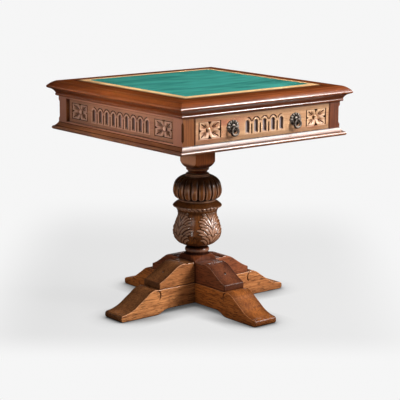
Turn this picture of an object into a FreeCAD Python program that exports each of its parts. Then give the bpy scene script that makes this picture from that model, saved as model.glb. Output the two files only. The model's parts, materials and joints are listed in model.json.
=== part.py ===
import FreeCAD, Part
import math
import os

# A square games table. A mitred top with a raised cloth field lies on a frieze that holds a drawer in
# the front and one in the back, and a carved pedestal carries it on a cross of two halved foot bars.
# Millimetres, +Z up, origin on the floor under the column, the front drawer faces -Y.

# Overall sizes
table_height = 728.0            # floor to the flat of the top
top_side = 700.0                # square top, nose to nose
top_overhang = 29.0             # nose in front of the corner posts
frieze_height = 83.3
border_width = 95.0             # from the nose to the cloth field
foot_span = 683.4               # toe to toe along one foot bar

# Clearances
slide_gap = 0.3                 # between a drawer and what guides it
front_gap = 0.8                 # round a drawer front in its opening
field_gap = 0.3                 # round the playing board in the top frame
pivot_gap = 0.05                # ring pin in its eye, on the radius
screw_gap = 0.1                 # screw or nut thread, on the radius
rod_gap = 0.5                   # tie rod in its bore, on the radius
overrun = 5.0                   # how far a cutter runs past what it cuts

# Top frame, playing board, mat and lip
top_thickness = 24.0
ovolo_width = 24.0              # rounded edge, from the flat to the nose
nose_height = 8.0
nose_return = 4.0               # how far the nose comes back underneath
ovolo_bulge_shares = (0.56, 0.46)
nose_shares = (0.35, 0.55)
rebate_width = 12.0
board_edge = 8.0                # thickness of the playing board in the rebate
mat_rise = 3.0                  # top of the mat above the flat of the top
mat_thickness = 1.5
lip_width = 23.0
lip_height = 4.2
lip_wall_share = 0.85
lip_shoulder_shares = ((0.05, 0.96), (0.14, 1.0))
lip_slope_share = 0.62
lip_slope_rise_share = 0.72

# Cornice under the top: a bead, then a cove
cornice_height = 26.5
cornice_projection = 25.5
bead_projection = 8.2
bead_height = 9.5
bead_shares = ((0.3, 0.15), (1.0, 0.66), (0.8, 1.0))
cove_shares = ((0.41, 0.65), (0.785, 0.925))
frame_bearing = 31.0            # depth of cornice, rails and posts behind the face

# Plinth under the frieze: a cove, a fillet, then a torus
plinth_height = 24.8
plinth_projection = 17.0
plinth_bearing = 25.0
plinth_foot_share = 0.74
plinth_torus_shares = ((1.0, 0.24), (0.7, 0.47))
plinth_fillet_share = 0.62
plinth_cove_shares = (0.3, 0.7)

# Corner posts
post_side = 43.0
chamfer_leg = 5.0
chamfer_margin = 11.0           # from the ends of the post to the chamfer
chamfer_stop = 6.0

# Carving of drawer fronts and side panels
panel_recess = 10.0             # side panel behind the posts
panel_thickness = 16.0
rail_height = 4.2               # thin rails over and under a side panel
arch_pitch = 34.6
arcade_margin = 20.0            # least room from the arcade to a flower or a pull
niche_width = 15.6
niche_height = 41.0
niche_depth = 4.6
niche_rise = 17.0               # sill above the frieze's bottom
flower_margin = 17.5            # from the corner post to the flower's panel
flower_width = 87.0
flower_height = 52.5
flower_depth = 3.0
petal_height = 2.6
petal_length_share = 0.88
petal_width_share = 0.46
flower_boss_radius = 5.0

# Bottom board, divider, runners and kickers
bottom_board_thickness = 18.0
divider_thickness = 20.0
runner_thickness = 4.2
runner_lip = 3.0                # runner inside the drawer's side
guide_height = 32.0

# Drawers
drawer_inset = 13.0             # drawer side inside the posts
drawer_front_thickness = 22.0
drawer_side_thickness = 12.0
drawer_side_height = 66.0
drawer_bottom_thickness = 6.0
drawer_bottom_lift = 5.0

# Ring pulls
pull_margin = 45.5              # from the flower's panel to the middle of the pull
pull_height = 44.0              # eye above the frieze's bottom
rosette_radius = 19.0
rosette_thickness = 2.6
rosette_lobes = 10
rosette_lobe_radius = 5.6
boss_radius = 10.0
boss_height = 3.0
stem_radius = 4.0
eye_reach = 11.0                # pin in front of the drawer face
eye_radius = 5.0
pin_radius = 2.3
pin_half = 5.0
ring_shoulder = 7.0
ring_side = 12.0
shank_radius = 2.5
shank_tail = 6.0
pull_nut_width = 9.0
pull_nut_height = 4.0

# Foot bars
foot_width = 88.0
foot_height = 82.0
arch_relief = 15.0              # underside clear of the floor between the toes
relief_shares = (0.44, 0.52, 0.6)
relief_bulge_share = 0.12
toe_height = 22.0
toe_round = 9.0
toe_round_share = 0.3
crest_rise = 2.0
crest_run_shares = (0.562, 0.578, 0.6)
slope_run_shares = (0.654, 0.704, 0.79)
slope_level_shares = (0.95, 0.807, 0.57)
tail_run_shares = (0.865, 0.95)
tail_level_shares = (0.385, 0.28)
crest_ring_radius = 20.5
crest_ring_groove = 1.6
crest_ring_start = 15.0         # degrees past the top of the crest
crest_ring_sweep = 110.0

# Brackets on the foot bars
bracket_width = 82.0
bracket_height = 68.0
bracket_reach = 188.0
bracket_end = 20.0
bracket_shelf_share = 0.37
quirk_share = 0.385
quirk_depth = 2.0
bracket_crest_rise = 2.4
bracket_run_shares = (0.425, 0.468, 0.575, 0.67, 0.798, 0.894)
bracket_level_shares = (0.96, 0.816, 0.581, 0.4235)
screw_run_share = 0.745
screw_length = 70.0
screw_head_radius = 4.6
screw_head_height = 3.5
screw_shank_radius = 2.5
counterbore_radius = 5.0
counterbore_floor = 36.0        # above the foot bar

# Pedestal
base_block_side = 88.0
column_joint_shares = (0.273, 0.6256, 0.8438)   # tops of base block, cup and cover in the column
head_block_side = 80.6
bearer_height = 49.0
bearer_flat = 100.0             # flat of the bearer's underside, along X
bearer_end = 8.0
plate_side = 300.0
plate_thickness = 24.0
plate_screw_offset = 110.0
plate_screw_length = 34.0
rod_radius = 6.0
rod_tail = 13.0
nut_width = 19.0
nut_height = 9.0
washer_radius = 14.0
washer_thickness = 2.5
counterbore_depth = 16.0
base_turning_radius = 66.0
cup_radius = 79.6
cover_radius = 80.0
neck_radius = 37.6
head_turning_height = 40.0
gadroon_count = 20
gadroon_groove = 4.6
gadroon_phase = 16.3            # degrees from +X to the first groove
gadroon_top = 52.0              # degrees above the widest part
gadroon_bottom = 48.0

# Turned outlines: radius as a share of the piece's radius, level as a share of its height,
# and a pair of points is an arc by its middle and its end
base_outline_shares = (
    (1.0, 0.0), (1.0, 0.59), ((0.88, 0.66), (0.68, 0.745)), (0.55, 0.775), (0.55, 0.81),
    ((0.603, 0.87), (0.53, 0.945)), ((0.45, 0.962), (0.41, 1.0)))
cup_outline_shares = (
    (0.342, 0.0), ((0.83, 0.11), (1.0, 0.29)), ((0.932, 0.469), (0.825, 0.626)),
    ((0.8, 0.7), (0.83, 0.791)), ((0.885, 0.838), (0.995, 0.875)), ((1.006, 0.892), (0.995, 0.906)),
    ((0.915, 0.946), (0.75, 1.0)))
cover_outline_shares = (
    (0.745, 0.0), ((0.93, 0.158), (1.0, 0.33)), ((0.9025, 0.644), (0.55, 0.868)), (0.475, 0.868),
    ((0.5, 0.898), (0.475, 0.928)), (0.46, 0.928), ((0.482, 0.952), (0.46, 0.976)), (0.375, 1.0))
head_outline_shares = (
    (0.8, 0.0), ((0.84, 0.115), (0.97, 0.24)), ((1.0, 0.33), (0.98, 0.42)), (1.07, 0.47),
    ((1.3, 0.63), (1.53, 1.0)))

# Levels, from the floor up and from the top down
top_half = top_side / 2
frieze_half = top_half - top_overhang
field_half = top_half - border_width
top_under = table_height - top_thickness
frieze_top = top_under - cornice_height
frieze_bottom = frieze_top - frieze_height
plinth_bottom = frieze_bottom - plinth_height
bottom_board_under = frieze_bottom - bottom_board_thickness
plate_under = bottom_board_under - plate_thickness
bearer_under = plate_under - bearer_height
column_height = bearer_under - foot_height
cup_bottom, cover_bottom, head_bottom = [
    foot_height + column_height * share for share in column_joint_shares]
base_block_height = cup_bottom - foot_height
cup_height = cover_bottom - cup_bottom
cover_height = head_bottom - cover_bottom

# Places in plan
opening_half = frieze_half - post_side
frame_inner = frieze_half - frame_bearing
board_half = frieze_half - plinth_bearing
drawer_half = opening_half - drawer_inset
runner_inner = drawer_half - drawer_side_thickness - runner_lip
drawer_low = frieze_bottom + runner_thickness + slide_gap
drawer_high = drawer_low + drawer_side_height
drawer_back = divider_thickness / 2 + slide_gap
front_back = frieze_half - drawer_front_thickness
eye_level = frieze_bottom + pull_height
eye_out = frieze_half + eye_reach
rod_bore = rod_radius + rod_gap
flower_offset = opening_half - flower_margin - flower_width / 2
pull_offset = flower_offset - flower_width / 2 - pull_margin
side_room = flower_offset - flower_width / 2 - arcade_margin
drawer_room = pull_offset - rosette_radius - rosette_lobe_radius - arcade_margin

point = FreeCAD.Vector
centre = point(0, 0, 0)
up = point(0, 0, 1)
across = point(1, 0, 0)
inward = point(0, 1, 0)
sides = (("front", 0), ("right", 90), ("back", 180), ("left", 270))
corners = (("front_right", 0), ("back_right", 90), ("back_left", 180), ("front_left", 270))
nodes = {}


def front_plane(p):
    return point(0, -p[0], p[1])


def radial_plane(p):
    return point(p[0], 0, p[1])


def outline_of(plane, *steps):
    """Wire through the steps: a step is an end point, or a (middle, end) pair for an arc."""
    edges = []
    here = steps[0]
    for step in steps[1:]:
        if isinstance(step[0], tuple):
            edges.append(Part.Arc(plane(here), plane(step[0]), plane(step[1])).toShape())
            here = step[1]
        else:
            edges.append(Part.LineSegment(plane(here), plane(step)).toShape())
            here = step
    return Part.Wire(edges)


def face_of(plane, *steps):
    """Face inside the outline, closed back to its first point."""
    return Part.Face(outline_of(plane, *steps, steps[0]))


def block(x0, x1, y0, y1, z0, z1):
    return Part.makeBox(x1 - x0, y1 - y0, z1 - z0, point(x0, y0, z0))


def square_block(half, z0, z1):
    return block(-half, half, -half, half, z0, z1)


def rod(radius, start, direction, length):
    return Part.makeCylinder(radius, length, start, direction)


def turn(shape, degrees):
    turned = shape.copy()
    turned.rotate(centre, up, degrees)
    return turned


def both_ways(shape):
    """The shape and its mirror image across the YZ plane."""
    return [shape, shape.mirror(centre, across)]


def mitred(face):
    """The front length of a square moulding, cut at 45 degrees at both ends."""
    face.translate(point(-top_half, 0, 0))
    reach = top_half + overrun
    corner = Part.makePolygon([centre, point(-reach, -reach, 0), point(reach, -reach, 0), centre])
    wedge = Part.Face(corner).extrude(point(0, 0, table_height + reach))
    return face.extrude(point(top_side, 0, 0)).common(wedge)


def round_the_square(name, shape):
    for side, degrees in sides:
        nodes[f"{side}_{name}"] = turn(shape, degrees)


def hexagon(width, start, direction, height):
    """Hexagonal nut blank, width across its flats."""
    radius = width / 2 / math.cos(math.pi / 6)
    flat = Part.Face(Part.makePolygon(
        [point(radius * math.cos(k * math.pi / 3), radius * math.sin(k * math.pi / 3), 0)
         for k in range(7)]))
    nut = flat.extrude(point(0, 0, height))
    nut.Placement = FreeCAD.Placement(start, FreeCAD.Rotation(up, direction))
    return nut


def top_rail():
    nose_end = (top_half - nose_return, top_under)
    ovolo_end = (top_half - nose_return * nose_shares[0], top_under + nose_height)
    drop = table_height - ovolo_end[1]
    bulge = (top_half - ovolo_width * (1 - ovolo_bulge_shares[0]),
             table_height - drop * ovolo_bulge_shares[1])
    return mitred(face_of(
        front_plane,
        (field_half, top_under + board_edge), (field_half, table_height),
        (top_half - ovolo_width, table_height), (bulge, ovolo_end),
        ((top_half, top_under + nose_height * nose_shares[1]), nose_end),
        (field_half + rebate_width, top_under), (field_half + rebate_width, top_under + board_edge)))


def cornice():
    bead_start, bead_tip, bead_end = [(frieze_half + bead_projection * out, frieze_top + bead_height * rise)
                                      for out, rise in bead_shares]
    cove = tuple((frieze_half + cornice_projection * out, frieze_top + cornice_height * rise)
                 for out, rise in cove_shares)
    return mitred(face_of(
        front_plane,
        (frame_inner, frieze_top), (frieze_half, frieze_top), bead_start, (bead_tip, bead_end), cove,
        (frieze_half + cornice_projection, top_under), (frame_inner, top_under)))


def plinth():
    torus = tuple((frieze_half + plinth_projection * out, plinth_bottom + plinth_height * rise)
                  for out, rise in plinth_torus_shares)
    cove = (frieze_half + plinth_projection * plinth_cove_shares[0],
            plinth_bottom + plinth_height * plinth_cove_shares[1])
    return mitred(face_of(
        front_plane,
        (board_half, plinth_bottom), (frieze_half + plinth_projection * plinth_foot_share, plinth_bottom),
        torus, (frieze_half + plinth_projection * plinth_fillet_share, torus[1][1]),
        (cove, (frieze_half, frieze_bottom)), (board_half, frieze_bottom)))


def field_lip():
    shoulder = tuple((field_half + lip_width * out, table_height + lip_height * rise)
                     for out, rise in lip_shoulder_shares)
    slope = (field_half + lip_width * lip_slope_share, table_height + lip_height * lip_slope_rise_share)
    strip = mitred(face_of(
        front_plane,
        (field_half, table_height), (field_half, table_height + lip_height * lip_wall_share),
        shoulder, (slope, (field_half + lip_width, table_height))))
    return Part.makeCompound([turn(strip, degrees) for _, degrees in sides])


def playing_board():
    edge = square_block(field_half + rebate_width, top_under, top_under + board_edge)
    field = square_block(field_half - field_gap, top_under, table_height + mat_rise - mat_thickness)
    return edge.fuse(field).removeSplitter()


def corner_post():
    post = block(opening_half, frieze_half, -frieze_half, -opening_half, frieze_bottom, frieze_top)
    low = frieze_bottom + chamfer_margin
    high = frieze_top - chamfer_margin
    depth = chamfer_leg / math.sqrt(2)
    cutter = face_of(
        radial_plane,
        (overrun, low), (0, low), (-depth, low + chamfer_stop), (-depth, high - chamfer_stop),
        (0, high), (overrun, high)).extrude(point(0, 2 * post_side, 0))
    cutter.translate(point(0, -post_side, 0))
    cutter.rotate(centre, up, -45)
    cutter.translate(point(frieze_half, -frieze_half, 0))
    return post.cut(cutter)


def niche(x, face):
    radius = niche_width / 2
    sill = frieze_bottom + niche_rise
    spring = sill + niche_height - radius
    jambs = block(x - radius, x + radius, -face - overrun, -face + niche_depth, sill, spring)
    head = rod(radius, point(x, -face - overrun, spring), inward, overrun + niche_depth)
    return jambs.fuse(head)


def flower(x, face):
    """Four pointed petals towards the corners of a sunk panel, and a round boss."""
    level = (frieze_bottom + frieze_top) / 2
    reach = math.hypot(flower_width, flower_height) / 2
    tilt = math.degrees(math.atan2(flower_height, flower_width))
    ground = -face + flower_depth
    length = reach * petal_length_share
    half = length * petal_width_share / 2
    outline = [Part.Arc(centre, point(length / 2, 0, side * half), point(length, 0, 0)).toShape()
               for side in (1, -1)]
    petal = Part.Face(Part.Wire(Part.__sortEdges__(outline))).extrude(point(0, -petal_height, 0))
    petals = []
    for degrees in (tilt, 180 - tilt, 180 + tilt, -tilt):
        leaf = petal.copy()
        leaf.rotate(centre, inward, -degrees)
        petals.append(leaf)
    boss = rod(flower_boss_radius, centre, inward * -1, flower_depth)
    bloom = boss.multiFuse(petals)
    bloom.translate(point(x, ground, level))
    sunk = block(x - flower_width / 2, x + flower_width / 2, -face - overrun, ground,
                 level - flower_height / 2, level + flower_height / 2)
    return sunk, bloom


def carved_board(half, low, high, face, thickness, room):
    """A board with an arcade, as many niches as the room allows, and a flower towards each end."""
    board = block(-half, half, -face, -face + thickness, low, high)
    arches = int((2 * room - niche_width) / arch_pitch) + 1
    cutters = [niche((k - (arches - 1) / 2) * arch_pitch, face) for k in range(arches)]
    blooms = []
    for x in (-flower_offset, flower_offset):
        sunk, bloom = flower(x, face)
        cutters.append(sunk)
        blooms.append(bloom)
    return board.cut(cutters).multiFuse(blooms)


def panel_rails():
    low = block(-opening_half, opening_half, -frieze_half, -frame_inner,
                frieze_bottom, frieze_bottom + rail_height)
    high = block(-opening_half, opening_half, -frieze_half, -frame_inner,
                 frieze_top - rail_height, frieze_top)
    return Part.makeCompound([low, high])


def runner():
    """Right-hand runner: a flat bearer with a guide beside the drawer."""
    guide = drawer_half + slide_gap
    top = frieze_bottom + runner_thickness
    section = face_of(
        radial_plane,
        (runner_inner, frieze_bottom), (frame_inner, frieze_bottom), (frame_inner, top + guide_height),
        (guide, top + guide_height), (guide, top), (runner_inner, top))
    bar = section.extrude(point(0, 2 * opening_half, 0))
    bar.translate(point(0, -opening_half, 0))
    return bar


def kicker():
    return block(runner_inner, frame_inner, -opening_half, opening_half,
                 drawer_high + slide_gap, top_under)


def drawer_front():
    board = carved_board(opening_half - front_gap, frieze_bottom + front_gap, frieze_top - front_gap,
                         frieze_half, drawer_front_thickness, drawer_room)
    holes = [rod(shank_radius + screw_gap, point(x, -frieze_half - overrun, eye_level), inward,
                 drawer_front_thickness + 2 * overrun) for x in (-pull_offset, pull_offset)]
    return board.cut(holes)


def drawer_pieces():
    side = block(drawer_half - drawer_side_thickness, drawer_half, -front_back, -drawer_back,
                 drawer_low, drawer_high)
    inner = drawer_half - drawer_side_thickness
    back_face = drawer_back + drawer_side_thickness
    back = block(-inner, inner, -back_face, -drawer_back, drawer_low, drawer_high)
    floor = drawer_low + drawer_bottom_lift
    bottom = block(-inner, inner, -front_back, -back_face, floor, floor + drawer_bottom_thickness)
    return {"front": drawer_front(), "sides": Part.makeCompound(both_ways(side)),
            "back": back, "bottom": bottom}


def pull_plate(x):
    """Lobed rosette with a boss, an eye post and a threaded shank through the drawer front."""
    face = -frieze_half
    plate = rod(rosette_radius, point(x, face, eye_level), inward * -1, rosette_thickness)
    lobes = []
    for k in range(rosette_lobes):
        turn_angle = 2 * math.pi * k / rosette_lobes
        lobes.append(rod(rosette_lobe_radius,
                         point(x + rosette_radius * math.cos(turn_angle), face,
                               eye_level + rosette_radius * math.sin(turn_angle)),
                         inward * -1, rosette_thickness))
    boss = Part.makeCone(boss_radius, stem_radius, boss_height,
                         point(x, face - rosette_thickness, eye_level), inward * -1)
    stem = rod(stem_radius, point(x, face, eye_level), inward * -1, eye_reach)
    eye = Part.makeSphere(eye_radius, point(x, -eye_out, eye_level))
    shank = rod(shank_radius, point(x, face, eye_level), inward,
                drawer_front_thickness + pull_nut_height + shank_tail)
    hole = rod(pin_radius + pivot_gap, point(x - eye_radius - overrun, -eye_out, eye_level),
               across, 2 * (eye_radius + overrun))
    return plate.multiFuse(lobes + [boss, stem, eye, shank]).cut(hole)


def pull_nut(x):
    start = point(x, -front_back, eye_level)
    nut = hexagon(pull_nut_width, start, inward, pull_nut_height)
    return nut.cut(rod(shank_radius + screw_gap, start - inward * overrun, inward,
                       pull_nut_height + 2 * overrun))


def pull_ring(x):
    """Drop ring: a straight pin in the eye, round shoulders, straight sides and a half-round bottom."""
    side = pin_half + ring_shoulder
    knee = ring_shoulder * math.sqrt(0.5)
    spring = -ring_shoulder - ring_side
    loop = outline_of(
        radial_plane,
        (-pin_half, 0), (pin_half, 0),
        ((pin_half + knee, knee - ring_shoulder), (side, -ring_shoulder)), (side, spring),
        ((0, spring - side), (-side, spring)), (-side, -ring_shoulder),
        ((-pin_half - knee, knee - ring_shoulder), (-pin_half, 0)))
    section = Part.Wire(Part.makeCircle(pin_radius, point(-pin_half, 0, 0), across))
    ring = loop.makePipeShell([section], True, True)
    ring.translate(point(x, -eye_out, eye_level))
    return ring


def foot_bar():
    """One bar along X with its two scrolled toes, before the halving joint."""
    reach = foot_span / 2
    relief = [reach * share for share in relief_shares]
    bulge = arch_relief * relief_bulge_share
    crest = foot_height + crest_rise
    crest_in, crest_lead, crest_out = [reach * share for share in crest_run_shares]
    slopes = [(reach * run, foot_height * level) for run, level in zip(slope_run_shares, slope_level_shares)]
    tail = [(reach * run, foot_height * level) for run, level in zip(tail_run_shares, tail_level_shares)]
    soft = toe_round * toe_round_share
    profile = face_of(
        radial_plane,
        (0, arch_relief), (relief[0], arch_relief),
        (((relief[0] + relief[1]) / 2, arch_relief - bulge), (relief[1], arch_relief / 2)),
        (((relief[1] + relief[2]) / 2, bulge), (relief[2], 0)),
        (reach - toe_round, 0), ((reach - soft, soft), (reach, toe_round)), (reach, toe_height - toe_round),
        ((reach - soft, toe_height - soft), (reach - toe_round, toe_height)),
        tail[1], (tail[0], slopes[2]), slopes[1], (slopes[0], (crest_out, crest)),
        ((crest_lead, crest - crest_rise / 4), (crest_in, foot_height)), (0, foot_height))
    half = profile.extrude(point(0, foot_width, 0))
    half.translate(point(0, -foot_width / 2, 0))
    middle = point(crest_out, foot_width / 2, crest - crest_ring_radius)
    bead = Part.Face(Part.Wire(Part.makeCircle(
        crest_ring_groove, middle + point(0, 0, crest_ring_radius), across)))
    bead.rotate(middle, inward, -crest_ring_start)
    groove = bead.revolve(middle, inward * -1, crest_ring_sweep)
    half = half.cut([groove, groove.mirror(centre, inward)])
    return half.fuse(half.mirror(centre, across)).removeSplitter()


def bracket():
    """Right-hand bracket: a shelf against the block, a quirk, a crest and an ogee down to its end."""
    start = base_block_side / 2
    high = foot_height + bracket_height
    runs = [bracket_reach * share for share in bracket_run_shares]
    levels = [foot_height + bracket_height * share for share in bracket_level_shares]
    quirk = (bracket_reach * quirk_share, high - quirk_depth)
    crest = (runs[1], high + bracket_crest_rise)
    profile = face_of(
        radial_plane,
        (start, foot_height), (bracket_reach, foot_height), (bracket_reach, foot_height + bracket_end),
        ((runs[5], levels[3]), (runs[4], levels[2])), (runs[3], levels[1]),
        ((runs[2], levels[0]), crest), ((runs[0], high + bracket_crest_rise / 2), quirk),
        (bracket_reach * bracket_shelf_share, high), (start, high))
    body = profile.extrude(point(0, bracket_width, 0))
    body.translate(point(0, -bracket_width / 2, 0))
    x = bracket_reach * screw_run_share
    seat = foot_height + counterbore_floor
    return body.cut([
        rod(counterbore_radius, point(x, 0, seat), up, bracket_height),
        rod(screw_shank_radius + screw_gap, point(x, 0, foot_height - overrun), up, bracket_height)])


def bracket_screw():
    x = bracket_reach * screw_run_share
    seat = foot_height + counterbore_floor
    head = rod(screw_head_radius, point(x, 0, seat), up, screw_head_height)
    return head.fuse(rod(screw_shank_radius, point(x, 0, seat - screw_length), up, screw_length))


def foot_cross():
    """The two bars, halved over each other, bored for the rod and for the bracket screws."""
    half = foot_width / 2
    lap = (foot_height + arch_relief) / 2
    x = bracket_reach * screw_run_share
    bottom = foot_height + counterbore_floor - screw_length
    holes = [rod(rod_bore, centre, up, foot_height + overrun)]
    for way in (-x, x):
        holes.append(rod(screw_shank_radius + screw_gap, point(way, 0, bottom), up, screw_length))
    bar = foot_bar().cut(holes)
    upper = block(-half, half, -half, half, lap, foot_height + overrun)
    lower = block(-half, half, -half, half, 0, lap)
    return bar.cut(upper), turn(bar.cut(lower), 90)


def turned(shares, radius, low, height, bore):
    """A turned piece from its outline shares, bored through for the tie rod."""
    def place(share):
        return (radius * share[0], low + height * share[1])

    steps = [(bore, low)]
    for step in shares:
        steps.append(tuple(place(p) for p in step) if isinstance(step[0], tuple) else place(step))
    steps.append((bore, steps[-1][1][1] if isinstance(steps[-1][0], tuple) else steps[-1][1]))
    return face_of(radial_plane, *steps).revolve(centre, up, 360)


def base_block():
    body = turned(base_outline_shares, base_turning_radius, foot_height, base_block_height, rod_bore)
    return body.common(square_block(base_block_side / 2, foot_height, cup_bottom))


def gadroon_grooves():
    """Round grooves that follow the two arcs of the cover's bulb, up and down from its widest part."""
    def place(share):
        return radial_plane((cover_radius * share[0], cover_bottom + cover_height * share[1]))

    foot, (low_middle, widest), (high_middle, top) = cover_outline_shares[:3]
    grooves = []
    for middle, end, sweep in ((low_middle, foot, gadroon_bottom), (high_middle, top, -gadroon_top)):
        arc = Part.Arc(place(widest), place(middle), place(end)).toShape().Curve
        bead = Part.Face(Part.Wire(Part.makeCircle(gadroon_groove, place(widest), up)))
        grooves.append(bead.revolve(arc.Center, inward, sweep))
    return grooves


def cover():
    body = turned(cover_outline_shares, cover_radius, cover_bottom, cover_height, rod_bore)
    cutters = []
    for k in range(gadroon_count):
        for groove in gadroon_grooves():
            cutters.append(turn(groove, gadroon_phase + 360 * k / gadroon_count))
    return body.cut(cutters)


def head_block():
    shoulder = turned(head_outline_shares, neck_radius, head_bottom, head_turning_height, rod_bore)
    high = head_bottom + head_turning_height
    straight = square_block(head_block_side / 2, high, bearer_under)
    straight = straight.cut(rod(rod_bore, point(0, 0, high), up, bearer_under - high))
    turned_part = shoulder.common(square_block(head_block_side / 2, head_bottom, high))
    return turned_part.fuse(straight).removeSplitter()


def column_bearer():
    """Bearer along X between column and plate, its lower ends rounded over."""
    sweep = bearer_height - bearer_end
    flat = bearer_flat / 2
    knee = sweep * math.sqrt(0.5)
    end = (flat + sweep, bearer_under + sweep)
    profile = face_of(
        radial_plane,
        (0, bearer_under), (flat, bearer_under), ((flat + knee, end[1] - knee), end), (end[0], plate_under),
        (0, plate_under))
    half = profile.extrude(point(0, head_block_side, 0))
    half.translate(point(0, -head_block_side / 2, 0))
    bearer = half.fuse(half.mirror(centre, across)).removeSplitter()
    return bearer.cut(rod(rod_bore, point(0, 0, bearer_under), up, bearer_height))


def mounting_plate():
    plate = square_block(plate_side / 2, plate_under, bottom_board_under)
    holes = [rod(rod_bore, point(0, 0, plate_under), up, plate_thickness),
             rod(washer_radius + rod_gap, point(0, 0, bottom_board_under - counterbore_depth), up,
                 counterbore_depth)]
    return plate.cut(holes + [screw_hole(x, y) for x, y in plate_screws()])


def plate_screws():
    return [(x, y) for x in (-plate_screw_offset, plate_screw_offset)
            for y in (-plate_screw_offset, plate_screw_offset)]


def screw_hole(x, y):
    return plate_screw(x, y, screw_gap)


def plate_screw(x, y, gap):
    """Countersunk screw from below through the plate into the bottom board, or the hole for it."""
    head = Part.makeCone(screw_head_radius + gap, screw_shank_radius + gap, screw_head_height,
                         point(x, y, plate_under), up)
    return head.fuse(rod(screw_shank_radius + gap, point(x, y, plate_under), up, plate_screw_length))


def bottom_board():
    board = square_block(board_half, bottom_board_under, frieze_bottom)
    return board.cut([screw_hole(x, y) for x, y in plate_screws()])


def tie_rod():
    low = arch_relief - rod_tail
    high = bottom_board_under - counterbore_depth + rod_tail
    return rod(rod_radius, point(0, 0, low), up, high - low)


def rod_nuts():
    """A washer and a nut under the foot cross, and the same in the plate's counterbore."""
    seat = bottom_board_under - counterbore_depth
    thread = rod(rod_radius + screw_gap, centre, up, table_height)
    pieces = []
    for start, way in ((arch_relief, up * -1), (seat, up)):
        foot = point(0, 0, start)
        washer = rod(washer_radius, foot, way, washer_thickness)
        nut = hexagon(nut_width, foot + way * washer_thickness, way, nut_height)
        pieces += [washer.cut(thread), nut.cut(thread)]
    return Part.makeCompound(pieces)


# Base and pedestal
nodes["left_right_foot_bar"], nodes["front_back_foot_bar"] = foot_cross()
for side, degrees in sides:
    nodes[f"{side}_foot_bracket"] = turn(bracket(), degrees - 90)
nodes["bracket_screws"] = Part.makeCompound([turn(bracket_screw(), degrees) for _, degrees in sides])
nodes["column_base_block"] = base_block()
nodes["column_cup"] = turned(cup_outline_shares, cup_radius, cup_bottom, cup_height, rod_bore)
nodes["column_cover"] = cover()
nodes["column_head_block"] = head_block()
nodes["column_bearer"] = column_bearer()
nodes["mounting_plate"] = mounting_plate()
nodes["mounting_screws"] = Part.makeCompound([plate_screw(x, y, 0) for x, y in plate_screws()])
nodes["tie_rod"] = tie_rod()
nodes["tie_rod_nuts"] = rod_nuts()

# Table frame
nodes["bottom_board"] = bottom_board()
round_the_square("plinth", plinth())
for corner, degrees in corners:
    nodes[f"{corner}_post"] = turn(corner_post(), degrees)
side_panel = carved_board(opening_half, frieze_bottom + rail_height, frieze_top - rail_height,
                          frieze_half - panel_recess, panel_thickness, side_room)
for side, degrees in (sides[1], sides[3]):
    nodes[f"{side}_side_panel"] = turn(side_panel, degrees)
    nodes[f"{side}_panel_rails"] = turn(panel_rails(), degrees)
nodes["right_drawer_runner"], nodes["left_drawer_runner"] = both_ways(runner())
nodes["drawer_kickers"] = Part.makeCompound(both_ways(kicker()))
nodes["drawer_divider"] = block(-runner_inner, runner_inner, -divider_thickness / 2, divider_thickness / 2,
                                frieze_bottom, top_under)

# Top
round_the_square("cornice", cornice())
round_the_square("top_rail", top_rail())
nodes["field_lip"] = field_lip()
nodes["playing_board"] = playing_board()
nodes["baize_mat"] = square_block(field_half - field_gap, table_height + mat_rise - mat_thickness,
                                  table_height + mat_rise)

# Drawers and their pulls
for side, degrees in (sides[0], sides[2]):
    for name, shape in drawer_pieces().items():
        nodes[f"{side}_drawer_{name}"] = turn(shape, degrees)
    plates = Part.makeCompound([pull_plate(x) for x in (-pull_offset, pull_offset)])
    nuts = Part.makeCompound([pull_nut(x) for x in (-pull_offset, pull_offset)])
    nodes[f"{side}_pull_plates"] = turn(plates, degrees)
    nodes[f"{side}_pull_nuts"] = turn(nuts, degrees)
    for hand, x in (("left", -pull_offset), ("right", pull_offset)):
        nodes[f"{side}_{hand}_pull_ring"] = turn(pull_ring(x), degrees)

os.makedirs("parts", exist_ok=True)
for name, shape in nodes.items():
    shape.exportStep(f"parts/{name}.step")
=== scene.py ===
import json
import math
from functools import partialmethod

import bpy
import numpy as np
from mathutils import Matrix, Vector


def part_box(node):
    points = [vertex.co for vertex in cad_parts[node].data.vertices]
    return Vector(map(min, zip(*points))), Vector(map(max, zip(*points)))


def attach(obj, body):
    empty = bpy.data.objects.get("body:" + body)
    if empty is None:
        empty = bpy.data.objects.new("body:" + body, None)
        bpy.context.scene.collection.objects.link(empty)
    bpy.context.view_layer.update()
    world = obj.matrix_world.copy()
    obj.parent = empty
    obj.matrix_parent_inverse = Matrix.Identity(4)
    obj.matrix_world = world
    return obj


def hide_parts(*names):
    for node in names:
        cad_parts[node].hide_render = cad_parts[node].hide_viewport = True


# A carved oak games table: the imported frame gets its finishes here, and the carved boards, the
# pedestal's cup and cover, the feet, the pulls and the cloth get their full shapes.
# Lengths are millimetres in this script, and metres in the meshes.

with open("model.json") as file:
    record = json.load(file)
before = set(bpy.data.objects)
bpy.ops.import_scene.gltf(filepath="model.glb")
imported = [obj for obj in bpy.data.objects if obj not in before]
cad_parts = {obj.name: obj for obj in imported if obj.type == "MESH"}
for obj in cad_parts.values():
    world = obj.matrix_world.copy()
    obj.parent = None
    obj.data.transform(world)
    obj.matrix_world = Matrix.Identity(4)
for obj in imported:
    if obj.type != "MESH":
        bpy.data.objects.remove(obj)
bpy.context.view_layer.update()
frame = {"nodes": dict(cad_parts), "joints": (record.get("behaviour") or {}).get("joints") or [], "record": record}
MM = 0.001
crease_angle = 40  # degrees from which an edge is sharp

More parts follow.
